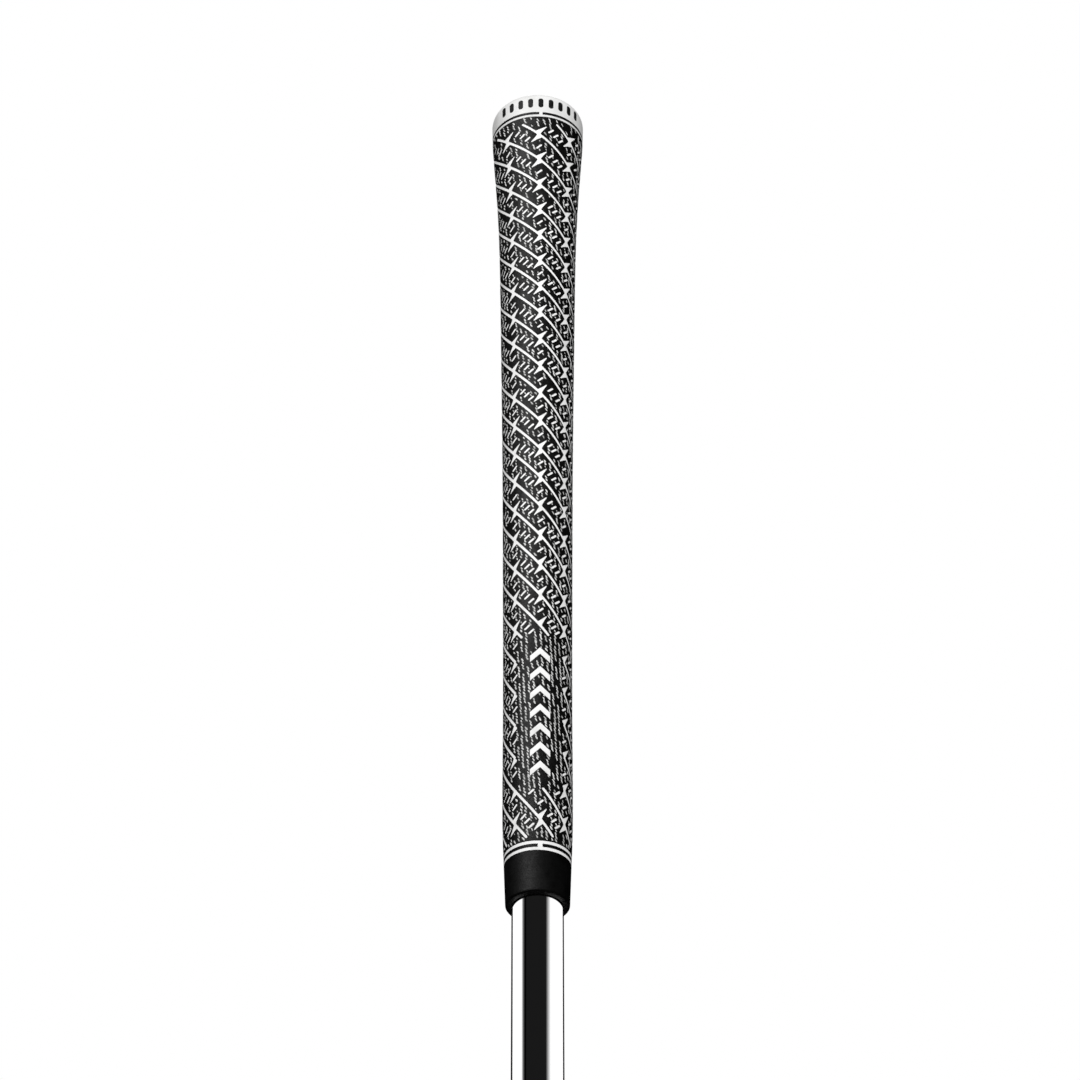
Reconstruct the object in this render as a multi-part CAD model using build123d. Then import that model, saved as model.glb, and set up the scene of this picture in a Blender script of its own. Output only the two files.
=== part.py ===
"""Corded rubber golf grip on the butt of a stepped steel shaft.

Millimetres. Z runs up the shaft towards the butt, the origin is at the cut lower end of the
shaft, and the alignment marks face -Y.
"""
from build123d import *
import os
from math import cos, degrees, radians, sin

os.makedirs("parts", exist_ok=True)

# Driving dimensions
EXPOSED_SHAFT = 70.0  # shaft below the mouth of the grip
GRIP_LENGTH = 271.5  # mouth to crown
MOUTH = EXPOSED_SHAFT  # height of the mouth end
CROWN = MOUTH + GRIP_LENGTH

# Stepped steel shaft: a 0.580 in butt that steps down 0.015 in at a time to 0.535 in
STEP_DIAMETER = 0.381
STEP_SPACING = 44.45
STEP_RAMP = 1.5
STEP_COUNT = 3
BUTT_DIAMETER = 14.732
LOWER_DIAMETER = BUTT_DIAMETER - STEP_COUNT * STEP_DIAMETER
FIRST_STEP = MOUTH  # the lowest step sits just inside the mouth
SHAFT_WALL = 0.5

# Double-sided tape, with its spare end folded over the rim and into the bore
TAPE = 0.15
TAPE_START = MOUTH + 6.0
TUCK_DEPTH = 12.0

# The butt cap seats on the folded tape, and the tube ends one tape thickness below it
CAP_SEAT = CROWN - 7.0
TUBE_TOP = CAP_SEAT - TAPE

# Rubber under-layer
COLLAR_TOP = MOUTH + 15.0
TONGUE = 4.0  # part of the collar that runs up under the corded cover
UNDER_DIAMETER_LOW = 16.2
UNDER_DIAMETER_HIGH = 20.4

# Corded cover: outside diameter at heights above the mouth
COVER_TOP = MOUTH + 260.75
COVER_STATIONS = [
    (15.0, 17.9),
    (20.0, 18.3),
    (40.0, 18.6),
    (80.0, 18.7),
    (120.0, 19.2),
    (160.0, 20.1),
    (190.0, 21.0),
    (215.0, 21.9),
    (230.0, 22.8),
    (240.0, 23.8),
    (250.0, 25.2),
    (260.75, 26.5),
]

# Mouth collar, its two painted rings and the link between them
MOUTH_DIAMETER = 16.9
MOUTH_ROUND = 0.6
RING_WIDTH = 0.93
RING_GAP = 0.92
RING_FLOOR = 8.55  # radius at the bottom of the rings' grooves
LOWER_RING_BASE = MOUTH + 12.1
UPPER_RING_BASE = LOWER_RING_BASE + RING_WIDTH + RING_GAP
LINK_WIDTH = 1.3

# Butt cap
CAP_DIAMETER = 26.8
CAP_SHOULDER = 4.0
CAP_FLAT_RADIUS = 7.5
CAP_DOME_DROP = 0.35
VENT_RADIUS = 1.5
CAP_RING_BASE = MOUTH + 261.5
CAP_RING_WIDTH = 0.95
CAP_PAINT_FLOOR = CAP_DIAMETER / 2 - 0.3
CAP_RING_GAP = 1.0

# Painted marks: plain bars round the cap and a row of chevrons down the front
CHEVRON_FLOOR = 9.1  # radius at the bottom of the chevrons
CAP_BAR_COUNT = 9
CAP_BAR_PITCH = 13.0  # degrees
CAP_BAR_WIDTH = 1.5
CAP_BAR_HEIGHT = 3.5
CAP_BAR_BASE = MOUTH + 264.2
CHEVRON_COUNT = 7
CHEVRON_PITCH = 6.0
CHEVRON_HALF_WIDTH = 2.75
CHEVRON_RISE = 2.6
CHEVRON_STROKE = 2.1
CHEVRON_CENTRE = MOUTH + 55.0

# A revolved solid starts at +X, so the front, -Y, is three quarters of the way round
FRONT = 270.0


def save(solid, name):
    """Write one node."""
    solid.label = name
    export_step(solid, f"parts/{name}.step")


def revolved(points, start=0.0, arc=360.0):
    """Turn a closed outline of (radius, height) points about Z."""
    outline = make_face(Polyline(*[(r, 0, z) for r, z in points], close=True))
    turned = revolve(outline, Axis.Z, arc)
    return turned.rotate(Axis.Z, start)


def band(floor, base, width, start=0.0, arc=360.0):
    """A ring, or a piece of one, from a floor radius out past the grip's surface."""
    outside = CAP_DIAMETER
    corners = [(floor, base), (outside, base), (outside, base + width), (floor, base + width)]
    return revolved(corners, start, arc)


def stepped_points(offset, bottom, top):
    """The shaft's stepped side between two heights, moved outwards by an offset."""
    radius = LOWER_DIAMETER / 2 + offset
    points = [(radius, bottom)]
    for step in range(STEP_COUNT):
        height = FIRST_STEP + step * STEP_SPACING
        radius += STEP_DIAMETER / 2
        if height < bottom:
            points = [(radius, bottom)]
        else:
            points.append((radius - STEP_DIAMETER / 2, height))
            points.append((radius, height + STEP_RAMP))
    points.append((radius, top))
    return points


def stepped_sleeve(inner_offset, outer_offset, bottom, top):
    """A thin sleeve that follows the shaft's steps."""
    inner = stepped_points(inner_offset, bottom, top)
    outer = stepped_points(outer_offset, bottom, top)
    return revolved(inner + outer[::-1])


def under_radius(height):
    """Outside radius of the rubber under-layer."""
    share = (height - COLLAR_TOP) / (CAP_SEAT - COLLAR_TOP)
    return (UNDER_DIAMETER_LOW + share * (UNDER_DIAMETER_HIGH - UNDER_DIAMETER_LOW)) / 2


def cover_face():
    """Half section of the corded cover, from the under-layer to the outside."""
    outside = [(d / 2, 0, MOUTH + h) for h, d in COVER_STATIONS]
    edges = [
        Spline(*outside),
        Line(outside[-1], (under_radius(COVER_TOP), 0, COVER_TOP)),
        Line((under_radius(COVER_TOP), 0, COVER_TOP), (under_radius(COLLAR_TOP), 0, COLLAR_TOP)),
        Line((under_radius(COLLAR_TOP), 0, COLLAR_TOP), outside[0]),
    ]
    return make_face(edges)


def cover_half(start):
    """One moulded half of the cover: the two meet along seams at +X and -X."""
    return revolve(cover_face(), Axis.Z, 180).rotate(Axis.Z, start)


def collar():
    """Plain rubber mouth with a rounded end and a tongue under the cover."""
    lip = LOWER_DIAMETER / 2
    bore = lip + STEP_DIAMETER / 2
    end = MOUTH_DIAMETER / 2
    top = COVER_STATIONS[0][1] / 2
    tongue_top = COLLAR_TOP + TONGUE
    turn = radians(45)
    corner_mid = (end - MOUTH_ROUND * (1 - sin(turn)), 0, MOUTH + MOUTH_ROUND * (1 - cos(turn)))
    edges = [
        Line((lip, 0, MOUTH), (end - MOUTH_ROUND, 0, MOUTH)),
        ThreePointArc((end - MOUTH_ROUND, 0, MOUTH), corner_mid, (end, 0, MOUTH + MOUTH_ROUND)),
        Line((end, 0, MOUTH + MOUTH_ROUND), (top, 0, COLLAR_TOP)),
        Line((top, 0, COLLAR_TOP), (under_radius(COLLAR_TOP), 0, COLLAR_TOP)),
        Line((under_radius(COLLAR_TOP), 0, COLLAR_TOP), (under_radius(tongue_top), 0, tongue_top)),
        Line((under_radius(tongue_top), 0, tongue_top), (bore + TAPE, 0, tongue_top)),
        Line((bore + TAPE, 0, tongue_top), (bore + TAPE, 0, TAPE_START)),
        Line((bore + TAPE, 0, TAPE_START), (bore, 0, TAPE_START)),
        Line((bore, 0, TAPE_START), (bore, 0, MOUTH + STEP_RAMP)),
        Line((bore, 0, MOUTH + STEP_RAMP), (lip, 0, MOUTH)),
    ]
    return revolve(make_face(edges), Axis.Z, 360)


def cap():
    """Butt cap: skirt over the under-layer, rounded shoulder, flat crown and vent hole."""
    side = CAP_DIAMETER / 2
    shoulder_base = CROWN - CAP_DOME_DROP - CAP_SHOULDER
    turn = radians(45)
    shoulder_mid = (side - CAP_SHOULDER * (1 - cos(turn)), 0, shoulder_base + CAP_SHOULDER * sin(turn))
    shoulder_top = (side - CAP_SHOULDER, 0, shoulder_base + CAP_SHOULDER)
    dome_radius = (side - CAP_SHOULDER + CAP_FLAT_RADIUS) / 2
    dome_mid = (dome_radius, 0, CROWN - 0.32 * CAP_DOME_DROP)
    edges = [
        Line((under_radius(COVER_TOP), 0, COVER_TOP), (COVER_STATIONS[-1][1] / 2, 0, COVER_TOP)),
        Line((COVER_STATIONS[-1][1] / 2, 0, COVER_TOP), (side, 0, shoulder_base)),
        ThreePointArc((side, 0, shoulder_base), shoulder_mid, shoulder_top),
        ThreePointArc(shoulder_top, dome_mid, (CAP_FLAT_RADIUS, 0, CROWN)),
        Line((CAP_FLAT_RADIUS, 0, CROWN), (VENT_RADIUS, 0, CROWN)),
        Line((VENT_RADIUS, 0, CROWN), (VENT_RADIUS, 0, CAP_SEAT)),
        Line((VENT_RADIUS, 0, CAP_SEAT), (under_radius(CAP_SEAT), 0, CAP_SEAT)),
        Line((under_radius(CAP_SEAT), 0, CAP_SEAT), (under_radius(COVER_TOP), 0, COVER_TOP)),
    ]
    return revolve(make_face(edges), Axis.Z, 360)


def cap_bars():
    """Upright bars spaced round the front of the cap's side, as tool bodies."""
    bars = []
    for index in range(CAP_BAR_COUNT):
        angle = FRONT + (index - (CAP_BAR_COUNT - 1) / 2) * CAP_BAR_PITCH
        width = degrees(CAP_BAR_WIDTH / (CAP_DIAMETER / 2))
        bars.append(band(CAP_PAINT_FLOOR, CAP_BAR_BASE, CAP_BAR_HEIGHT, angle - width / 2, width))
    return bars


def chevrons():
    """A row of chevrons that point up the grip, as tool bodies in front of the axis."""
    bodies = []
    for index in range(CHEVRON_COUNT):
        base = CHEVRON_CENTRE + (index - (CHEVRON_COUNT - 1) / 2) * CHEVRON_PITCH
        low = base - (CHEVRON_RISE + CHEVRON_STROKE) / 2
        corners = [
            (-CHEVRON_HALF_WIDTH, 0, low),
            (0, 0, low + CHEVRON_RISE),
            (CHEVRON_HALF_WIDTH, 0, low),
            (CHEVRON_HALF_WIDTH, 0, low + CHEVRON_STROKE),
            (0, 0, low + CHEVRON_RISE + CHEVRON_STROKE),
            (-CHEVRON_HALF_WIDTH, 0, low + CHEVRON_STROKE),
        ]
        bodies.append(extrude(make_face(Polyline(*corners, close=True)), amount=20, dir=(0, -1, 0)))
    return bodies


# Shaft and tape
save(stepped_sleeve(-SHAFT_WALL, 0, 0, TUBE_TOP), "shaft_tube")
save(stepped_sleeve(0, TAPE, TAPE_START, TUBE_TOP), "mounting_tape")
bore_radius = BUTT_DIAMETER / 2 - SHAFT_WALL
tuck_points = [
    (bore_radius - TAPE, TUBE_TOP - TUCK_DEPTH),
    (bore_radius, TUBE_TOP - TUCK_DEPTH),
    (bore_radius, TUBE_TOP),
    (BUTT_DIAMETER / 2 + TAPE, TUBE_TOP),
    (BUTT_DIAMETER / 2 + TAPE, CAP_SEAT),
    (bore_radius - TAPE, CAP_SEAT),
]
save(revolved(tuck_points), "tape_fold")

# Rubber under-layer, from the collar's tongue up to the cap's seat
under_bottom = COLLAR_TOP + TONGUE
under_points = stepped_points(TAPE, under_bottom, CAP_SEAT)
under_points.append((under_radius(CAP_SEAT), CAP_SEAT))
under_points.append((under_radius(under_bottom), under_bottom))
save(revolved(under_points), "under_layer")

# Corded cover: front and back mouldings, the front one inlaid with chevrons
front = cover_half(180)
back = cover_half(0)
chevron_depth = band(CHEVRON_FLOOR, CHEVRON_CENTRE - 30, 60) & front
chevron_solids = [body & chevron_depth for body in chevrons()]
for body in chevron_solids:
    front -= body
save(front, "front_cover")
save(back, "back_cover")
for number, body in enumerate(chevron_solids, 1):
    save(body, f"front_chevron_{number}")

# Mouth collar with its painted rings and alignment link
mouth_collar = collar()
lower_ring = band(RING_FLOOR, LOWER_RING_BASE, RING_WIDTH) & mouth_collar
upper_ring = band(RING_FLOOR, UPPER_RING_BASE, RING_WIDTH) & mouth_collar
link_arc = degrees(LINK_WIDTH / (COVER_STATIONS[0][1] / 2))
link_base = LOWER_RING_BASE + RING_WIDTH
link = band(RING_FLOOR, link_base, RING_GAP, FRONT - link_arc / 2, link_arc) & mouth_collar
for body in (lower_ring, upper_ring, link):
    mouth_collar -= body
save(mouth_collar, "mouth_collar")
save(lower_ring, "lip_ring_lower")
save(upper_ring, "lip_ring_upper")
save(link, "lip_alignment_mark")

# Butt cap with its painted ring, open at the front, and the bars above it
butt_cap = cap()
gap_arc = degrees(CAP_RING_GAP / (CAP_DIAMETER / 2))
ring_start = FRONT + gap_arc / 2
cap_ring = band(CAP_PAINT_FLOOR, CAP_RING_BASE, CAP_RING_WIDTH, ring_start, 360 - gap_arc) & butt_cap
bar_solids = [body & butt_cap for body in cap_bars()]
for body in (cap_ring, *bar_solids):
    butt_cap -= body
save(butt_cap, "butt_cap")
save(cap_ring, "cap_ring")
for number, body in enumerate(bar_solids, 1):
    save(body, f"cap_bar_{number}")
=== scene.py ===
"""Looks of the corded golf grip: covers, cord, paint, collar, cap and shaft, with stage and light.

Layout is worked out in millimetres: x runs round the grip on an unrolled plane and y up it.
Heights are measured from the mouth of the grip. Meshes are in metres.
"""

import math
import random

import bpy
import numpy as np
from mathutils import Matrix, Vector, geometry
from mathutils.bvhtree import BVHTree


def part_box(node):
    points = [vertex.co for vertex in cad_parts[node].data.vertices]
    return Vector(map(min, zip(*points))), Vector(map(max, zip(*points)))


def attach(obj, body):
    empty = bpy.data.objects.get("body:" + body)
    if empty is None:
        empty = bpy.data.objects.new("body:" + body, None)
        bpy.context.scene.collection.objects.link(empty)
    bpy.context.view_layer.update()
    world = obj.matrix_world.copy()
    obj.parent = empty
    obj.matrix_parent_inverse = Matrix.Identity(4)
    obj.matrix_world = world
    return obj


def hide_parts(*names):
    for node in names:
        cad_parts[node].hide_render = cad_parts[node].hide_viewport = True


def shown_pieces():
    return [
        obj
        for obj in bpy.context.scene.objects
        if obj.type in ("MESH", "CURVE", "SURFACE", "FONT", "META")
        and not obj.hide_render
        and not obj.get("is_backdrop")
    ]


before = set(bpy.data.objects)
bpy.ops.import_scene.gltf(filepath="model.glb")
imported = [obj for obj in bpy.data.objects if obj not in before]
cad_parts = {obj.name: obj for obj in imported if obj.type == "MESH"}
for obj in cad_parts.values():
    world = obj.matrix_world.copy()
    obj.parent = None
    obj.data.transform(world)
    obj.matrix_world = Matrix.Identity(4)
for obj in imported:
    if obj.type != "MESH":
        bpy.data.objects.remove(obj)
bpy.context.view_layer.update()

MM = 0.001
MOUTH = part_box("mouth_collar")[0].z / MM
COLLAR_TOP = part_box("back_cover")[0].z / MM - MOUTH
COVER_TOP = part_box("back_cover")[1].z / MM - MOUTH
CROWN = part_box("butt_cap")[1].z / MM - MOUTH
CAP_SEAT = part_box("under_layer")[1].z / MM - MOUTH

# The unrolled plane is as wide as a cylinder of this radius
PLANE_RADIUS = 10.0
SEGMENTS = 96  # straight sides round a full turn
ROW_HEIGHT = 1.6

# Grooves and the paint that fills them
GROOVE_DEPTH = 0.35
PAINT_SUNK = 0.06

# Groove pattern: columns of stars, joined by lines that run down to the right
COLUMN_ANGLE = 45.0
COLUMN_OFFSET = 0.4  # degrees from the alignment mark to the front column
PATTERN_TWIST = 3.0  # degrees that the pattern twists, mostly near the cap
LEVEL_ZERO = 254.3  # height of the top star
LEVEL_STEP = 9.075
LEVEL_GROWTH = 0.0264  # each level is a little taller than the one above
LEVEL_LEAN = 0.03
FIRST_LEVEL = -0.45
LAST_LEVEL = 24.47
LINE_WIDTH = 0.72
LINE_STEP = 0.125
# Outline of the upper right spike, in columns and levels from the middle of its star
SPIKE = [
    (-0.11, -0.11),
    (-0.075, -0.15),
    (0.07, -0.222),
    (0.215, -0.312),
    (0.238, -0.29),
    (0.125, -0.137),
    (0.055, -0.025),
    (0.08, 0.08),
]
DASH_COLUMNS = (0.0, 0.36, 0.51, 0.665)
DASH_LENGTH = 2.15
DASH_WIDTH = 0.62
DASH_SLOPE = math.radians(42)
DASH_TOP = -0.3
DASH_BOTTOM = 24.3

# Blank panel on the front, in columns and levels
PANEL_SIDE = 1.0
PANEL_TOP = 18.29
PANEL_BOTTOM = 23.1
DASH_FREE_SIDE = 0.95
SMALLEST_GAP = 0.2  # a line that meets less of the panel than this runs on
SHORTEST_LINE = 0.05
CHEVRON_RISE = 0.553  # share of a chevron's height from its ends to its inner corner

# Cord: columns of short floats, each a chain of twisted grains
CORD_COLUMNS = 44
CORD_SEED = 7
CORD_PERIOD = 5.7
FLOAT_LENGTH = 4.3
CORD_DRIFT = math.radians(3)
GRAIN_PITCH = 0.95
GRAIN_LENGTH = 1.4
GRAIN_WIDTH = 0.48
GRAIN_LEAN = math.radians(28)
GRAIN_HEIGHT = 0.03
GRAIN_ROOT = 0.12
GRAIN_SIDES = 10
GRAIN_UNEVEN = 0.1
GRAIN_LOBES = 3
GRAIN_SWAY = 0.07  # grains lie to the left and right of their float by turns
CORD_CLEARANCE = 0.05
LINE_CLEARANCE = 0.3
CORD_MISSING = 0.06
GRAIN_CUTS = (1.0, 0.7, 0.45)  # sizes tried, largest first, where cord meets a groove

# Mouth collar
MOUTH_ROUND = 0.6
LIP_RAMP = 1.5  # the lip grips the shaft and the bore opens out behind it
LIP_RAMP_RISE = 0.19

# Butt cap
CAP_SHOULDER = 4.0
CAP_FLAT_RADIUS = 7.5
CAP_DOME_DROP = 0.35
VENT_RADIUS = 1.5
VENT_CHAMFER = 0.3
CAP_RING_GAP = 1.0
CAP_BAR_WIDTH = 1.5

SHAFT_CHAMFER = 0.12

# Camera, in metres and degrees
CAMERA_DISTANCE = 0.9458
CAMERA_HEIGHT = -0.4942
CAMERA_AZIMUTH = -4.2
CAMERA_TILT = 35.78
CAMERA_LENS = 141.06
CAMERA_SENSOR = 36
CAMERA_SHIFT = 0.0022

# Stage and light, in metres
GRIP_MIDDLE = Vector((0, 0, 0.2))
FLOOR_HEIGHT = -0.9
FLOOR_RADIUS = 30.0
FLOOR_GLOW = 0.55
CARD_RADIUS = 1.3
CARD_BOTTOM = -0.88
CARD_TOP = 2.2
CARD_LIGHT = 1.1
CARD_STEPS = 48
# Azimuths of a card's ends, degrees over which its light fades in, and how slowly it does
LEFT_CARD = (-50, -137, 22.3, 4.2)
RIGHT_CARD = (35.5, 139.5, 22, 1.3)
SOFTBOX_DISTANCE = 1.15
SOFTBOX_WIDTH = 0.8
SOFTBOX_TALL = 0.9
KEY_AZIMUTH = -32
KEY_HEIGHT = 1.0
KEY_POWER = 7
FILL_AZIMUTH = 10
FILL_HEIGHT = 0.7
FILL_POWER = 11
SKY_LIGHT = 0.34
SKY_GLINT = 0.01



# Profiles


def node_rings(node):
    """Heights above the mouth and radii of a CAD node's vertices."""
    points = np.array([vertex.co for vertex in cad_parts[node].data.vertices]) / MM
    return points[:, 2] - MOUTH, np.hypot(points[:, 0], points[:, 1])


def straight_fit(node):
    """Outside radius of a tapered CAD node as a function of height."""
    heights, radii = node_rings(node)
    low, high = heights.min(), heights.max()
    ends = [radii[np.abs(heights - end) < 0.1].max() for end in (low, high)]
    return lambda height: np.interp(height, (low, high), ends)


def curved_fit(node, inside):
    """Outside radius of a curved CAD node as a smooth function of height."""
    heights, radii = node_rings(node)
    outer = radii > inside(heights) + 0.5
    return np.polynomial.Polynomial.fit(heights[outer], radii[outer], 9)


def profile(knots):
    """Turn knots of (plane y, radius, height) into a function of plane y."""
    distance, radius, height = zip(*knots)
    return lambda y: (float(np.interp(y, distance, radius)), float(np.interp(y, distance, height)))


def arc_knots(start, centre, size, first, last, count=8):
    """Knots along an arc of a profile, with angles in degrees from straight outwards."""
    knots = []
    for share in np.linspace(0, 1, count + 1):
        turn = math.radians(first + share * (last - first))
        travel = start + size * abs(turn - math.radians(first))
        knots.append((travel, centre[0] + size * math.cos(turn), centre[1] + size * math.sin(turn)))
    return knots


under_radius = straight_fit("under_layer")
cover_radius = curved_fit("back_cover", under_radius)


# Mesh tools


def make_piece(name, points, faces, material, slot, *nodes):
    """One named piece from points in millimetres above the mouth, in place of its CAD nodes."""
    mesh = bpy.data.meshes.new(name)
    places = [(x * MM, y * MM, (z + MOUTH) * MM) for x, y, z in points]
    mesh.from_pydata(places, [], faces)
    mesh.shade_smooth()
    mesh.set_sharp_from_angle(angle=math.radians(35))
    mesh.materials.append(material)
    piece = bpy.data.objects.new(name, mesh)
    bpy.context.scene.collection.objects.link(piece)
    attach(piece, "root")
    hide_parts(*nodes)
    return piece


def turned(radius, angle, height):
    """Point on a circle about the axis; angle 0 faces the front, and grows to the right."""
    return (radius * math.sin(angle), -radius * math.cos(angle), height)


def lathe(outline, segments=SEGMENTS):
    """Points and faces of a closed outline of (radius, height) turned about the axis."""
    points = []
    faces = []
    for step in range(segments):
        angle = 2 * math.pi * step / segments
        points.extend(turned(radius, angle, height) for radius, height in outline)
    size = len(outline)
    for step in range(segments):
        here = step * size
        there = (step + 1) % segments * size
        for corner in range(size):
            after = (corner + 1) % size
            faces.append((here + corner, there + corner, there + after, here + after))
    return points, faces


def counter_clockwise(outline):
    """The outline, turned round if its points run clockwise."""
    ends = outline[1:] + outline[:1]
    area = sum(x0 * y1 - x1 * y0 for (x0, y0), (x1, y1) in zip(outline, ends))
    return outline if area > 0 else outline[::-1]


def triangulate(shapes, left, right, rows):
    """Cut a rectangle of the plane into triangles that keep the edges of named shapes.

    Returns the plane's points, the triangles and, for each triangle, the shape over it or None.
    """
    sheet = [(left, rows[0]), (right, rows[0]), (right, rows[-1]), (left, rows[-1])]
    points = []
    loops = []
    for outline in [sheet] + [outline for _, outline in shapes]:
        loops.append(list(range(len(points), len(points) + len(outline))))
        points.extend(counter_clockwise(outline))
    columns = round((right - left) / (2 * math.pi * PLANE_RADIUS) * SEGMENTS) + 1
    points.extend((x, y) for y in rows for x in np.linspace(left, right, columns))
    vectors = [Vector(point) for point in points]
    spots, _, triangles, _, _, owners = geometry.delaunay_2d_cdt(vectors, [], loops, 1, 1e-5)
    kept = []
    covers = []
    for triangle, owner in zip(triangles, owners):
        if 0 in owner:
            over = [number for number in owner if number > 0]
            kept.append(list(triangle))
            covers.append(shapes[over[0] - 1][0] if over else None)
    return spots, kept, covers


def join_ends(spots, triangles, left, right):
    """Join the plane's right side to its left, so that a full turn has no seam."""
    starts = {round(spot.y, 3): index for index, spot in enumerate(spots) if abs(spot.x - left) < 1e-4}
    same = {
        index: starts[round(spot.y, 3)]
        for index, spot in enumerate(spots)
        if abs(spot.x - right) < 1e-4
    }
    return [[same.get(index, index) for index in triangle] for triangle in triangles]


def raise_solid(triangles, depths, under, place):
    """Closed mesh over some triangles of the plane.

    depths gives how deep each triangle's outer face lies, under is the depth of the underside,
    and place(index, depth) gives a point. Steps between depths become walls.
    """
    corners = {}
    points = []
    faces = []

    def corner(index, depth):
        if (index, depth) not in corners:
            corners[index, depth] = len(points)
            points.append(place(index, depth))
        return corners[index, depth]

    owner = {}
    for number, triangle in enumerate(triangles):
        for side in range(3):
            owner[triangle[side], triangle[(side + 1) % 3]] = number
    for number, triangle in enumerate(triangles):
        depth = depths[number]
        faces.append([corner(index, depth) for index in triangle])
        faces.append([corner(index, under) for index in reversed(triangle)])
        for side in range(3):
            start, end = triangle[side], triangle[(side + 1) % 3]
            other = owner.get((end, start))
            below = under if other is None else depths[other]
            if below > depth:
                top = [corner(end, depth), corner(start, depth)]
                faces.append([*top, corner(start, below), corner(end, below)])
    return points, faces


def wrap(spots, outside, inside):
    """How a point of the plane is placed on the grip at a depth under the outside."""

    def place(index, depth):
        spot = spots[index]
        angle = spot.x / PLANE_RADIUS
        if math.isinf(depth):
            radius, height = inside(spot.y)
        else:
            radius, height = outside(spot.y)
            radius -= depth
        return turned(radius, angle, height)

    return place


def paint_solids(triangles, covers, place):
    """Points and faces of the paint in each named group of grooves."""
    solids = {}
    for name in dict.fromkeys(cover for cover in covers if cover):
        inlay = [triangle for triangle, cover in zip(triangles, covers) if cover == name]
        solids[name] = raise_solid(inlay, [PAINT_SUNK] * len(inlay), GROOVE_DEPTH, place)
    return solids


# Shapes on the plane


def plane_point(angle, height):
    """Point of the plane at an angle in degrees and a height."""
    return (math.radians(angle) * PLANE_RADIUS, height)


def stroke(path, width, radius):
    """Outline of a line with rounded ends, of a true width on the surface, along plane points."""
    stretch = PLANE_RADIUS / radius
    sides = ([], [])
    for number, (x, y) in enumerate(path):
        x0, y0 = path[max(number - 1, 0)]
        x1, y1 = path[min(number + 1, len(path) - 1)]
        along = Vector(((x1 - x0) / stretch, y1 - y0)).normalized() * width / 2
        turns = {0: (120, 150, 180, 210, 240), len(path) - 1: (-60, -30, 0, 30, 60)}.get(number, ())
        sides[0].append((x + along.y * stretch, y - along.x))
        sides[1].append((x - along.y * stretch, y + along.x))
        tip = []
        for turn in map(math.radians, turns):
            across = along.x * math.cos(turn) - along.y * math.sin(turn)
            up = along.x * math.sin(turn) + along.y * math.cos(turn)
            tip.append((x + across * stretch, y + up))
        if number == 0:
            start = tip
        else:
            end = tip
    return sides[0] + end + sides[1][::-1] + start


def lattice_point(column, level):
    """Point of the plane at a column and level of the groove pattern."""
    level -= LEVEL_LEAN * math.sin(math.pi * column / 2)
    height = LEVEL_ZERO - LEVEL_STEP * level - LEVEL_GROWTH * level**2
    twist = PATTERN_TWIST * (height / LEVEL_ZERO) ** 6
    return plane_point(COLUMN_OFFSET + COLUMN_ANGLE * column - twist, height)


def line_spans(number, first, last):
    """Columns between which a line runs: it breaks off where it meets the blank panel."""
    first = max(first, FIRST_LEVEL - number)
    last = min(last, LAST_LEVEL - number)
    gap_start = max(-PANEL_SIDE, PANEL_TOP - number)
    gap_end = min(PANEL_SIDE, PANEL_BOTTOM - number)
    if gap_end - gap_start < SMALLEST_GAP or first > PANEL_SIDE:
        spans = [(first, last)]
    else:
        spans = [(first, gap_start), (gap_end, last)]
    return [(start, end) for start, end in spans if end - start > SHORTEST_LINE]


def line_outlines(first, last):
    """Outlines of the sloping lines between two columns."""
    outlines = []
    for number in range(math.floor(FIRST_LEVEL - last), math.ceil(LAST_LEVEL - first) + 1):
        for start, end in line_spans(number, first, last):
            steps = max(2, round((end - start) / LINE_STEP) + 1)
            path = [lattice_point(column, number + column) for column in np.linspace(start, end, steps)]
            middle = path[len(path) // 2][1]
            outlines.append(stroke(path, LINE_WIDTH, cover_radius(middle)))
    return outlines


def star_spikes(column, level):
    """Which spikes a star has: 1 for the upper right one, -1 for the lower left one."""
    spikes = {1, -1}
    beside_panel = 19 <= level <= 23
    if beside_panel and column in (-1, 0):
        spikes.discard(1)
    if 18 <= level <= 23 and column == 0 or 19 <= level <= 22 and column == 1:
        spikes.discard(-1)
    return spikes


def spike_outlines(first, last):
    """Outlines of the stars' crossing spikes between two columns."""
    outlines = []
    for column in range(math.floor(first), math.ceil(last) + 1):
        for level in range(round(LAST_LEVEL) + 1):
            for side in star_spikes(column, level):
                outlines.append([lattice_point(column + side * u, level + side * n) for u, n in SPIKE])
    return outlines


def dash_outlines(first, last):
    """Outlines of the short dashes halfway between the lines."""
    outlines = []
    for base in range(math.floor(first) - 1, math.ceil(last) + 1):
        for column in [base + offset for offset in DASH_COLUMNS]:
            for band in range(-round(last) - 2, round(LAST_LEVEL - first) + 2):
                level = band + 0.5 + column
                blank = abs(column) < DASH_FREE_SIDE and PANEL_TOP < level < PANEL_BOTTOM
                if not DASH_TOP < level < DASH_BOTTOM or blank:
                    continue
                x, y = lattice_point(column, level)
                radius = cover_radius(y)
                reach = (DASH_LENGTH - DASH_WIDTH) / 2
                across = reach * math.cos(DASH_SLOPE) * PLANE_RADIUS / radius
                up = reach * math.sin(DASH_SLOPE)
                outlines.append(stroke([(x - across, y - up), (x + across, y + up)], DASH_WIDTH, radius))
    return outlines


def chevron_outline(node):
    """Outline of a chevron that fills the box of its CAD node."""
    low, high = (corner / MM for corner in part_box(node))
    half = high.x
    base, top = low.z - MOUTH, high.z - MOUTH
    rise = (top - base) * CHEVRON_RISE
    stretch = PLANE_RADIUS / cover_radius(base)
    half *= stretch
    return [
        (-half, base),
        (0, base + rise),
        (half, base),
        (half, top - rise),
        (0, top),
        (-half, top - rise),
    ]


def box_outline(left, right, low, high):
    """Outline of a rectangle on the plane."""
    return [(left, low), (right, low), (right, high), (left, high)]


# Materials


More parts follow.
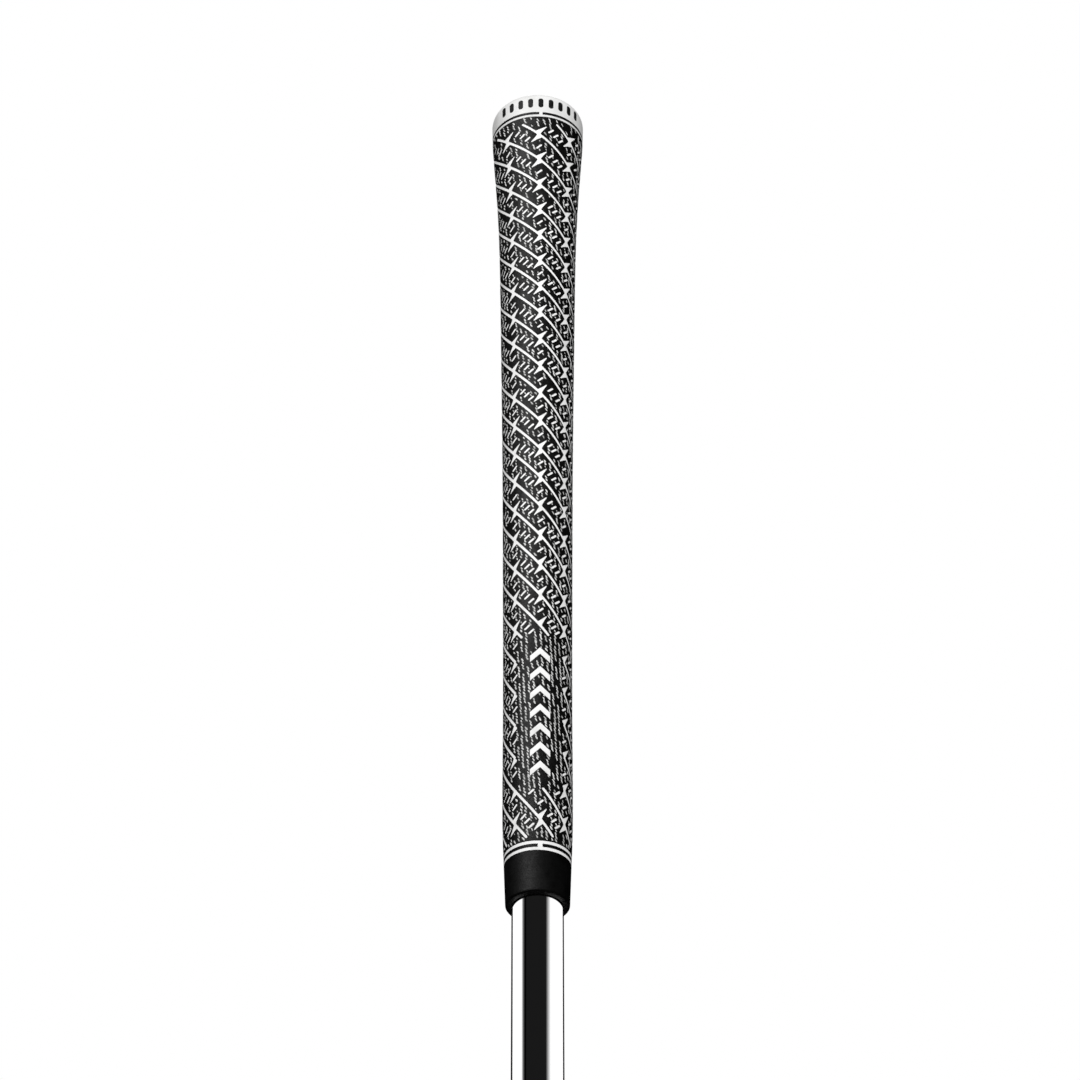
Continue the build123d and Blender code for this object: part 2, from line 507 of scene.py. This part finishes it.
def new_material(name, roughness, **sockets):
    """A material with its shader's uniform values set."""
    material = bpy.data.materials.new(name)
    material.use_nodes = True
    shader = material.node_tree.nodes["Principled BSDF"]
    shader.inputs["Roughness"].default_value = roughness
    for socket, value in sockets.items():
        shader.inputs[socket.replace("_", " ")].default_value = value
    return material


def add_noise(material, size, stretch=(1, 1, 1), detail=4.0):
    """Noise whose grain has a size in millimetres, drawn out by a stretch along each axis."""
    nodes, links = material.node_tree.nodes, material.node_tree.links
    place = nodes.new("ShaderNodeTexCoord")
    mapping = nodes.new("ShaderNodeMapping")
    mapping.inputs["Scale"].default_value = [1 / (size * MM * factor) for factor in stretch]
    noise = nodes.new("ShaderNodeTexNoise")
    noise.inputs["Scale"].default_value = 1.0
    noise.inputs["Detail"].default_value = detail
    links.new(place.outputs["Object"], mapping.inputs["Vector"])
    links.new(mapping.outputs["Vector"], noise.inputs["Vector"])
    return noise.outputs["Fac"]


def colour_from(material, source, dark, light, low=0.3, high=0.7):
    """Base colour that runs between two colours as the source goes from low to high."""
    nodes, links = material.node_tree.nodes, material.node_tree.links
    ramp = nodes.new("ShaderNodeValToRGB")
    for element, place, colour in zip(ramp.color_ramp.elements, (low, high), (dark, light)):
        element.position = place
        element.color = (*colour, 1)
    links.new(source, ramp.inputs["Fac"])
    links.new(ramp.outputs["Color"], nodes["Principled BSDF"].inputs["Base Color"])


def roughness_from(material, source, smooth, rough):
    """Roughness that follows the source."""
    nodes, links = material.node_tree.nodes, material.node_tree.links
    span = nodes.new("ShaderNodeMapRange")
    span.inputs["From Min"].default_value = 0.3
    span.inputs["From Max"].default_value = 0.7
    span.inputs["To Min"].default_value = smooth
    span.inputs["To Max"].default_value = rough
    links.new(source, span.inputs["Value"])
    links.new(span.outputs["Result"], nodes["Principled BSDF"].inputs["Roughness"])


def bump_from(material, source, height):
    """Relief of a height in millimetres, on top of any the material already has."""
    nodes, links = material.node_tree.nodes, material.node_tree.links
    normal = nodes["Principled BSDF"].inputs["Normal"]
    bump = nodes.new("ShaderNodeBump")
    bump.inputs["Distance"].default_value = height * MM
    if normal.is_linked:
        links.new(normal.links[0].from_socket, bump.inputs["Normal"])
    links.new(source, bump.inputs["Height"])
    links.new(bump.outputs["Normal"], normal)


def corded_rubber_material():
    """Buffed black rubber with sanding marks round the grip."""
    material = new_material("corded_rubber", 0.5, Specular_IOR_Level=0.6)
    colour_from(material, add_noise(material, 1.2), (0.002, 0.002, 0.002), (0.006, 0.006, 0.0055))
    roughness_from(material, add_noise(material, 3.0), 0.42, 0.6)
    bump_from(material, add_noise(material, 0.8, (1, 1, 0.25)), 0.12)
    bump_from(material, add_noise(material, 0.25), 0.03)
    return material


def cord_material():
    """Grey-white cotton, soiled unevenly by the rubber round it."""
    material = new_material("cotton_cord", 0.9, Specular_IOR_Level=0.2)
    colour_from(material, add_noise(material, 2.2), (0.3, 0.3, 0.295), (0.74, 0.74, 0.73), 0.3, 0.6)
    bump_from(material, add_noise(material, 0.14, (1, 1, 2)), 0.03)
    return material


def white_paint_material():
    """White groove paint with slight dirt and an orange-peel surface."""
    material = new_material("white_paint", 0.45, Specular_IOR_Level=0.4)
    colour_from(material, add_noise(material, 4.0), (0.8, 0.8, 0.79), (0.93, 0.93, 0.925), 0.25, 0.5)
    roughness_from(material, add_noise(material, 2.0), 0.38, 0.55)
    bump_from(material, add_noise(material, 0.5), 0.02)
    return material


def black_paint_material():
    """Black ink on the cap."""
    material = new_material("black_paint", 0.45, Specular_IOR_Level=0.3)
    colour_from(material, add_noise(material, 1.5), (0.005, 0.005, 0.005), (0.014, 0.014, 0.014))
    roughness_from(material, add_noise(material, 1.0), 0.38, 0.55)
    bump_from(material, add_noise(material, 0.4), 0.015)
    return material


def cap_rubber_material():
    """Satin white rubber with faint marks from handling."""
    material = new_material("cap_rubber", 0.45, Specular_IOR_Level=0.4)
    colour_from(material, add_noise(material, 6.0), (0.69, 0.69, 0.68), (0.77, 0.77, 0.765), 0.3, 0.6)
    roughness_from(material, add_noise(material, 2.5), 0.36, 0.52)
    bump_from(material, add_noise(material, 0.45), 0.02)
    return material


def collar_rubber_material():
    """Smooth black moulded rubber with a satin finish."""
    material = new_material("collar_rubber", 0.5, Specular_IOR_Level=0.44)
    colour_from(material, add_noise(material, 2.5), (0.0015, 0.0015, 0.0015), (0.004, 0.004, 0.004))
    roughness_from(material, add_noise(material, 1.5), 0.46, 0.58)
    bump_from(material, add_noise(material, 0.35), 0.04)
    bump_from(material, add_noise(material, 2.0, (1, 1, 0.15)), 0.05)
    return material


def chrome_material():
    """Chrome plate with faint polishing lines round the tube."""
    material = new_material("shaft_chrome", 0.05, Metallic=1.0)
    colour_from(material, add_noise(material, 12.0), (0.93, 0.93, 0.935), (0.97, 0.97, 0.97))
    roughness_from(material, add_noise(material, 1.2, (1, 1, 0.08)), 0.03, 0.07)
    bump_from(material, add_noise(material, 3.0, (1, 1, 0.03)), 0.0004)
    return material


def tape_material():
    """Crinkled masking paper of the mounting tape."""
    material = new_material("tape_paper", 0.85, Specular_IOR_Level=0.2)
    colour_from(material, add_noise(material, 3.0), (0.5, 0.4, 0.24), (0.66, 0.55, 0.36))
    bump_from(material, add_noise(material, 0.9, (1, 1, 0.3)), 0.05)
    return material


def under_rubber_material():
    """Plain moulded rubber of the hidden layer."""
    material = new_material("under_rubber", 0.6, Specular_IOR_Level=0.35)
    colour_from(material, add_noise(material, 2.0), (0.01, 0.01, 0.01), (0.025, 0.025, 0.024))
    bump_from(material, add_noise(material, 0.6), 0.05)
    return material


corded_rubber = corded_rubber_material()
cotton_cord = cord_material()
white_paint = white_paint_material()
black_paint = black_paint_material()
cap_rubber = cap_rubber_material()
collar_rubber = collar_rubber_material()
shaft_chrome = chrome_material()
tape_paper = tape_material()
under_rubber = under_rubber_material()


# Covers


def cover_outside(y):
    """Radius and height of the cover's outside."""
    return float(cover_radius(y)), y


def cover_inside(y):
    """Radius and height of the cover's inside."""
    return float(under_radius(y)), y


def cord_grains(draw):
    """Angle, height, length, width and lean of each grain of cord round the whole grip."""
    grains = []
    count = round(FLOAT_LENGTH / GRAIN_PITCH)
    for column in range(CORD_COLUMNS):
        base = COLLAR_TOP - CORD_PERIOD * (1 + column % 2 / 2)
        for number in range(math.ceil((COVER_TOP - base) / CORD_PERIOD)):
            start = base + (number + draw.uniform(-0.08, 0.08)) * CORD_PERIOD
            length = max(2, round(count * draw.uniform(0.75, 1.25)))
            missing = draw.random() < CORD_MISSING
            shift = draw.uniform(-0.12, 0.12)
            for link in range(length):
                y = start + link * GRAIN_PITCH
                x = 2 * math.pi * PLANE_RADIUS * column / CORD_COLUMNS + shift - y * math.tan(CORD_DRIFT)
                x += GRAIN_SWAY * (-1) ** link
                size = draw.uniform(0.8, 1.15)
                width = draw.uniform(0.85, 1.15)
                lean = GRAIN_LEAN + draw.uniform(-0.12, 0.12)
                if not missing and COLLAR_TOP + 0.5 < y < COVER_TOP - 0.5:
                    grains.append((x, y, GRAIN_LENGTH * size, GRAIN_WIDTH * width, lean))
    return grains


def grain_rim(x, y, length, width, lean):
    """Plane points round the edge of a grain, made uneven in a way that differs with its length."""
    stretch = PLANE_RADIUS / cover_radius(y)
    rim = []
    for step in range(GRAIN_SIDES):
        turn = 2 * math.pi * step / GRAIN_SIDES
        swell = 1 + GRAIN_UNEVEN * math.sin(GRAIN_LOBES * turn + 40 * length)
        along = swell * math.cos(turn) * length / 2
        side = swell * math.sin(turn) * width / 2
        across = -math.sin(lean) * along - math.cos(lean) * side
        up = math.cos(lean) * along - math.sin(lean) * side
        rim.append((x + across * stretch, y + up))
    return rim


def add_grain(points, faces, x, y, rim):
    """Add one closed grain: a flat dome outside and a root in the rubber."""
    first = len(points)
    rings = ((1.0, -0.02), (0.62, 0.7 * GRAIN_HEIGHT))
    for scale, lift in rings:
        for px, py in rim:
            px, py = x + (px - x) * scale, y + (py - y) * scale
            points.append(turned(float(cover_radius(py)) + lift, px / PLANE_RADIUS, py))
    for lift in (GRAIN_HEIGHT, -GRAIN_ROOT):
        points.append(turned(float(cover_radius(y)) + lift, x / PLANE_RADIUS, y))
    inner = first + GRAIN_SIDES
    top, root = inner + GRAIN_SIDES, inner + GRAIN_SIDES + 1
    for step in range(GRAIN_SIDES):
        after = (step + 1) % GRAIN_SIDES
        faces.append((first + step, first + after, inner + after, inner + step))
        faces.append((inner + step, inner + after, top))
        faces.append((first + after, first + step, root))


def paint_map(spots, triangles, covers, names):
    """The painted triangles of some groups on the flat plane, to measure distances from."""
    flat = [(spot.x, spot.y, 0) for spot in spots]
    painted = [triangle for triangle, cover in zip(triangles, covers) if cover in names]
    return BVHTree.FromPolygons(flat, painted)


def build_cord(name, grains, dashes, lines, left):
    """Cord of one half of the grip, clear of the paint and of the mould seams."""
    points = []
    faces = []
    turn = 2 * math.pi * PLANE_RADIUS
    for x, y, length, width, lean in grains:
        x = left + (x - left) % turn
        if not left + 0.5 < x < left + turn / 2 - 0.5:
            continue
        for cut in GRAIN_CUTS:
            rim = grain_rim(x, y, length * cut, width * math.sqrt(cut), lean)
            tests = [(px, py, 0) for px, py in [(x, y), *rim[::2]]]
            near_dash = any(dashes.find_nearest(test, CORD_CLEARANCE)[0] for test in tests)
            near_line = any(lines.find_nearest(test, LINE_CLEARANCE)[0] for test in tests)
            if not near_dash and not near_line:
                add_grain(points, faces, x, y, rim)
                break
    return make_piece(name, points, faces, cotton_cord, "corded_rubber")


def build_cover(side, middle_column, chevrons, grains):
    """One half of the corded cover with its paint and cord."""
    middle = math.radians(COLUMN_ANGLE * middle_column) * PLANE_RADIUS
    quarter = math.pi * PLANE_RADIUS / 2
    left, right = middle - quarter, middle + quarter
    first, last = middle_column - 2.1, middle_column + 2.1
    shapes = [("groove", outline) for outline in line_outlines(first, last) + spike_outlines(first, last)]
    shapes += [("dash", outline) for outline in dash_outlines(first, last)]
    shapes += [(node, chevron_outline(node)) for node in chevrons]
    rows = np.linspace(COLLAR_TOP, COVER_TOP, round((COVER_TOP - COLLAR_TOP) / ROW_HEIGHT) + 1)
    spots, triangles, covers = triangulate(shapes, left, right, rows)
    place = wrap(spots, cover_outside, cover_inside)
    depths = [GROOVE_DEPTH if cover else 0.0 for cover in covers]
    points, faces = raise_solid(triangles, depths, math.inf, place)
    make_piece(f"{side}_rubber", points, faces, corded_rubber, "corded_rubber", f"{side}_cover")
    for name, (points, faces) in paint_solids(triangles, covers, place).items():
        if name in chevrons:
            make_piece(f"{name}_paint", points, faces, white_paint, "white_paint", name)
        else:
            make_piece(f"{side}_{name}_paint", points, faces, white_paint, "white_paint")
    dashes = paint_map(spots, triangles, covers, ("dash", *chevrons))
    lines = paint_map(spots, triangles, covers, ("groove",))
    build_cord(f"{side}_cord", grains, dashes, lines, left)


chevron_nodes = sorted(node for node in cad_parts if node.startswith("front_chevron"))
all_grains = cord_grains(random.Random(CORD_SEED))
build_cover("front", 0, chevron_nodes, all_grains)
build_cover("back", 4, [], all_grains)


# Mouth collar and butt cap


def build_turned_body(name, shapes, rows, outside, inside, material, slot, node):
    """A moulded body that goes all the way round, and its inlaid paint solids."""
    left, right = -math.pi * PLANE_RADIUS, math.pi * PLANE_RADIUS
    spots, triangles, covers = triangulate(shapes, left, right, rows)
    triangles = join_ends(spots, triangles, left, right)
    place = wrap(spots, outside, inside)
    depths = [GROOVE_DEPTH if cover else 0.0 for cover in covers]
    points, faces = raise_solid(triangles, depths, math.inf, place)
    make_piece(name, points, faces, material, slot, node)
    return paint_solids(triangles, covers, place)


def rows_with(rows, nodes):
    """The rows, with more at the lower and upper edges of some CAD nodes."""
    edges = [corner.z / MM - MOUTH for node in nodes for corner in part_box(node)]
    return sorted({round(float(row), 4) for row in [*rows, *edges]})


def ring_shape(node, gap=0.0):
    """Outline round the whole plane at the height of a CAD ring, open at the front by a gap."""
    low, high = (round(corner.z / MM - MOUTH, 4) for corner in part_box(node))
    edge = math.pi * PLANE_RADIUS + 1
    if not gap:
        return [(node, box_outline(-edge, edge, low, high))]
    return [(node, box_outline(-edge, -gap / 2, low, high)), (node, box_outline(gap / 2, edge, low, high))]


def middle_angle(node):
    """Plane x of the middle of a CAD node that lies to one side of the axis."""
    low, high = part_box(node)
    return math.atan2(low.x + high.x, -low.y - high.y) * PLANE_RADIUS


def build_collar():
    """Rubber collar at the mouth, its two painted rings and the link between them."""
    heights, radii = node_rings("mouth_collar")
    lip_radius = radii[heights < 0.1].min()
    end_radius = radii[heights < MOUTH_ROUND + 0.1].max()
    bore_radius = lip_radius + LIP_RAMP_RISE
    tongue_top = heights.max()
    arc_start = MOUTH_ROUND * (1 - math.pi / 2)
    first = arc_start - (end_radius - MOUTH_ROUND - lip_radius)
    corner = (end_radius - MOUTH_ROUND, MOUTH_ROUND)
    outside = profile(
        [(first, lip_radius, 0)]
        + arc_knots(arc_start, corner, MOUTH_ROUND, -90, 0)
        + [(COLLAR_TOP, cover_outside(COLLAR_TOP)[0], COLLAR_TOP)]
    )
    inside = profile(
        [
            (first, bore_radius, LIP_RAMP),
            (COLLAR_TOP - 1, bore_radius, tongue_top),
            (COLLAR_TOP - 0.5, under_radius(tongue_top), tongue_top),
            (COLLAR_TOP, under_radius(COLLAR_TOP), COLLAR_TOP),
        ]
    )
    rows = [*np.linspace(first, arc_start, 3), *np.linspace(arc_start, MOUTH_ROUND, 7)[1:]]
    rows += [*np.arange(MOUTH_ROUND + 0.5, COLLAR_TOP, 0.5), COLLAR_TOP]
    rows = rows_with(rows, ("lip_ring_lower", "lip_ring_upper"))
    low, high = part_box("lip_alignment_mark")
    half = high.x / MM * PLANE_RADIUS / cover_outside(COLLAR_TOP)[0]
    link = box_outline(-half, half, *(round(corner.z / MM - MOUTH, 4) for corner in (low, high)))
    shapes = ring_shape("lip_ring_lower") + ring_shape("lip_ring_upper") + [("lip_alignment_mark", link)]
    solids = build_turned_body(
        "mouth_collar_rubber", shapes, rows, outside, inside, collar_rubber, "black_rubber", "mouth_collar"
    )
    for name, (points, faces) in solids.items():
        make_piece(f"{name}_paint", points, faces, white_paint, "white_paint", name)


def build_cap(bar_nodes):
    """Butt cap with a rounded shoulder and a vent, its painted ring and the bars above it."""
    cap_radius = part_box("butt_cap")[1].x / MM
    shoulder_base = CROWN - CAP_DOME_DROP - CAP_SHOULDER
    shoulder_end = shoulder_base + CAP_SHOULDER * math.pi / 2
    flat_start = shoulder_end + cap_radius - CAP_SHOULDER - CAP_FLAT_RADIUS
    last = flat_start + CAP_FLAT_RADIUS - VENT_RADIUS
    outside = profile(
        [(COVER_TOP, cover_outside(COVER_TOP)[0], COVER_TOP)]
        + arc_knots(shoulder_base, (cap_radius - CAP_SHOULDER, shoulder_base), CAP_SHOULDER, 0, 84)
        + [
            (flat_start, CAP_FLAT_RADIUS, CROWN),
            (last - VENT_CHAMFER, VENT_RADIUS + VENT_CHAMFER, CROWN),
            (last, VENT_RADIUS, CROWN - VENT_CHAMFER),
        ]
    )
    inside = profile(
        [
            (COVER_TOP, under_radius(COVER_TOP), COVER_TOP),
            (CAP_SEAT, under_radius(CAP_SEAT), CAP_SEAT),
            (last, VENT_RADIUS, CAP_SEAT),
        ]
    )
    rows = [*np.linspace(COVER_TOP, shoulder_base, 9), *np.linspace(shoulder_base, flat_start, 19)[1:]]
    rows += [*np.linspace(flat_start, last - VENT_CHAMFER, 7)[1:], last]
    rows = rows_with(rows, ("cap_ring",))
    scale = PLANE_RADIUS / cap_radius
    shapes = ring_shape("cap_ring", CAP_RING_GAP * scale)
    for node in bar_nodes:
        x = middle_angle(node)
        low, high = (corner.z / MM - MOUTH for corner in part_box(node))
        ends = (low + CAP_BAR_WIDTH / 2, high - CAP_BAR_WIDTH / 2)
        shapes.append((node, stroke([(x, end) for end in ends], CAP_BAR_WIDTH, cap_radius)))
    solids = build_turned_body(
        "butt_cap_rubber", shapes, rows, outside, inside, cap_rubber, "white_rubber", "butt_cap"
    )
    for name, (points, faces) in solids.items():
        make_piece(f"{name}_paint", points, faces, black_paint, "black_paint", name)


build_collar()
build_cap(sorted(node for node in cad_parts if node.startswith("cap_bar")))


# Shaft and hidden layers


def build_shaft():
    """Chrome tube with its steps and a small chamfer round the cut end."""
    heights, radii = node_rings("shaft_tube")
    levels = sorted(set(heights.round(2)))
    outer = [(radii[np.abs(heights - level) < 0.01].max(), level) for level in levels]
    inner = [(radii[np.abs(heights - level) < 0.01].min(), level) for level in levels]
    end_radius, end = outer[0]
    chamfer = [(end_radius - SHAFT_CHAMFER, end), (end_radius, end + SHAFT_CHAMFER)]
    points, faces = lathe(chamfer + outer[1:] + inner[::-1], 2 * SEGMENTS)
    return make_piece("shaft_chrome_tube", points, faces, shaft_chrome, "shaft_chrome", "shaft_tube")


def finish_hidden_node(node, material):
    """Give a CAD node that stays as it is its material."""
    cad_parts[node].data.materials.clear()
    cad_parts[node].data.materials.append(material)


shaft = build_shaft()
finish_hidden_node("under_layer", under_rubber)
finish_hidden_node("mounting_tape", tape_paper)
finish_hidden_node("tape_fold", tape_paper)


# Stage, light and camera


def collection_of(name, objects):
    """A collection that a light can be limited to."""
    collection = bpy.data.collections.new(name)
    for item in objects:
        collection.objects.link(item)
    return collection


def compass(azimuth, distance, height):
    """Place at an azimuth in degrees from the camera's side, growing to the right."""
    angle = math.radians(azimuth + CAMERA_AZIMUTH)
    return Vector((distance * math.sin(angle), -distance * math.cos(angle), height))


def add_floor():
    """Pale studio floor, well under the camera, that throws no light of its own on the grip."""
    mesh = bpy.data.meshes.new("floor")
    rim = [compass(step * 360 / SEGMENTS, FLOOR_RADIUS, FLOOR_HEIGHT) for step in range(SEGMENTS)]
    mesh.from_pydata(rim, [], [list(range(SEGMENTS))])
    floor = bpy.data.objects.new("floor", mesh)
    bpy.context.scene.collection.objects.link(floor)
    glow = {"Emission_Color": (1, 1, 1, 1), "Emission_Strength": FLOOR_GLOW}
    material = new_material("pale_floor", 0.8, Specular_IOR_Level=0.2, **glow)
    colour_from(material, add_noise(material, 400.0), (0.83, 0.83, 0.83), (0.87, 0.87, 0.87))
    mesh.materials.append(material)
    floor.visible_diffuse = False
    floor.visible_glossy = False
    floor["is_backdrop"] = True
    return floor


def add_softbox(name, azimuth, height, power, receivers):
    """Area light that faces the middle of the grip and lights only the receivers.

    Its place is an azimuth in degrees from the camera, and a height in metres.
    """
    data = bpy.data.lights.new(name, "AREA")
    data.shape = "RECTANGLE"
    data.size = SOFTBOX_WIDTH
    data.size_y = SOFTBOX_TALL
    data.energy = power
    light = bpy.data.objects.new(name, data)
    bpy.context.scene.collection.objects.link(light)
    light.location = compass(azimuth, SOFTBOX_DISTANCE, height)
    light.rotation_euler = (GRIP_MIDDLE - light.location).to_track_quat("-Z", "Y").to_euler()
    light.light_linking.receiver_collection = receivers
    return light


def add_reflection_card(name, first, last, soft, curve, receivers):
    """Tall curved white card between two azimuths, seen only in the chrome.

    Its brightness fades in over soft degrees from the end named first, slowly if curve is large.
    """
    points = []
    for step in range(CARD_STEPS + 1):
        azimuth = first + (last - first) * step / CARD_STEPS
        points.extend(compass(azimuth, CARD_RADIUS, height) for height in (CARD_BOTTOM, CARD_TOP))
    faces = [(2 * step, 2 * step + 2, 2 * step + 3, 2 * step + 1) for step in range(CARD_STEPS)]
    mesh = bpy.data.meshes.new(name)
    mesh.from_pydata(points, [], faces)
    shades = mesh.attributes.new("shade", "FLOAT", "POINT")
    for number, shade in enumerate(shades.data):
        travel = abs(last - first) * (number // 2) / CARD_STEPS
        shade.value = CARD_LIGHT * min(1.0, travel / soft) ** curve
    card = bpy.data.objects.new(name, mesh)
    bpy.context.scene.collection.objects.link(card)
    material = bpy.data.materials.new(name)
    material.use_nodes = True
    nodes, links = material.node_tree.nodes, material.node_tree.links
    nodes.clear()
    shade = nodes.new("ShaderNodeAttribute")
    shade.attribute_name = "shade"
    glow = nodes.new("ShaderNodeEmission")
    output = nodes.new("ShaderNodeOutputMaterial")
    links.new(shade.outputs["Fac"], glow.inputs["Strength"])
    links.new(glow.outputs["Emission"], output.inputs["Surface"])
    mesh.materials.append(material)
    card.visible_camera = False
    card.visible_shadow = False
    card.visible_diffuse = False
    card.light_linking.receiver_collection = receivers
    card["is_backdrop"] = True
    return card


def light_world():
    """White backdrop for the camera, and a dimmer sky that keeps the black rubber black."""
    world = bpy.data.worlds.new("studio")
    bpy.context.scene.world = world
    world.use_nodes = True
    nodes, links = world.node_tree.nodes, world.node_tree.links
    path = nodes.new("ShaderNodeLightPath")
    soft = nodes.new("ShaderNodeMath")
    soft.operation = "MULTIPLY_ADD"
    soft.inputs[1].default_value = SKY_LIGHT
    soft.inputs[2].default_value = SKY_GLINT
    total = nodes.new("ShaderNodeMath")
    total.operation = "MAXIMUM"
    links.new(path.outputs["Is Diffuse Ray"], soft.inputs[0])
    links.new(soft.outputs["Value"], total.inputs[0])
    links.new(path.outputs["Is Camera Ray"], total.inputs[1])
    nodes["Background"].inputs["Color"].default_value = (1, 1, 1, 1)
    links.new(total.outputs["Value"], nodes["Background"].inputs["Strength"])


def add_camera():
    """Camera below the mouth of the grip, tilted up along it."""
    data = bpy.data.cameras.new("camera")
    data.lens = CAMERA_LENS
    data.sensor_width = CAMERA_SENSOR
    data.shift_x = CAMERA_SHIFT
    data.clip_end = 100
    camera = bpy.data.objects.new("camera", data)
    bpy.context.scene.collection.objects.link(camera)
    camera.location = compass(0, CAMERA_DISTANCE, CAMERA_HEIGHT)
    camera.rotation_euler = (math.radians(90 + CAMERA_TILT), 0, math.radians(CAMERA_AZIMUTH))
    bpy.context.scene.camera = camera


floor = add_floor()
rubber_side = collection_of("lit_by_key", [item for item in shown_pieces() if item != shaft] + [floor])
back_pieces = [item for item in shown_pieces() if item.name.startswith("back_")]
back_side = collection_of("lit_from_behind", back_pieces)
chrome_side = collection_of("lit_by_cards", [shaft])
add_softbox("key_light", KEY_AZIMUTH, KEY_HEIGHT, KEY_POWER, rubber_side)
add_softbox("back_key_light", KEY_AZIMUTH + 180, KEY_HEIGHT, KEY_POWER, back_side)
for name, azimuth in (("fill_light", FILL_AZIMUTH), ("back_fill_light", FILL_AZIMUTH + 180)):
    fill = add_softbox(name, azimuth, FILL_HEIGHT, FILL_POWER, rubber_side)
    fill.visible_glossy = False
add_reflection_card("left_card", *LEFT_CARD, chrome_side)
add_reflection_card("right_card", *RIGHT_CARD, chrome_side)
light_world()
add_camera()
bpy.context.scene.view_settings.view_transform = "Standard"
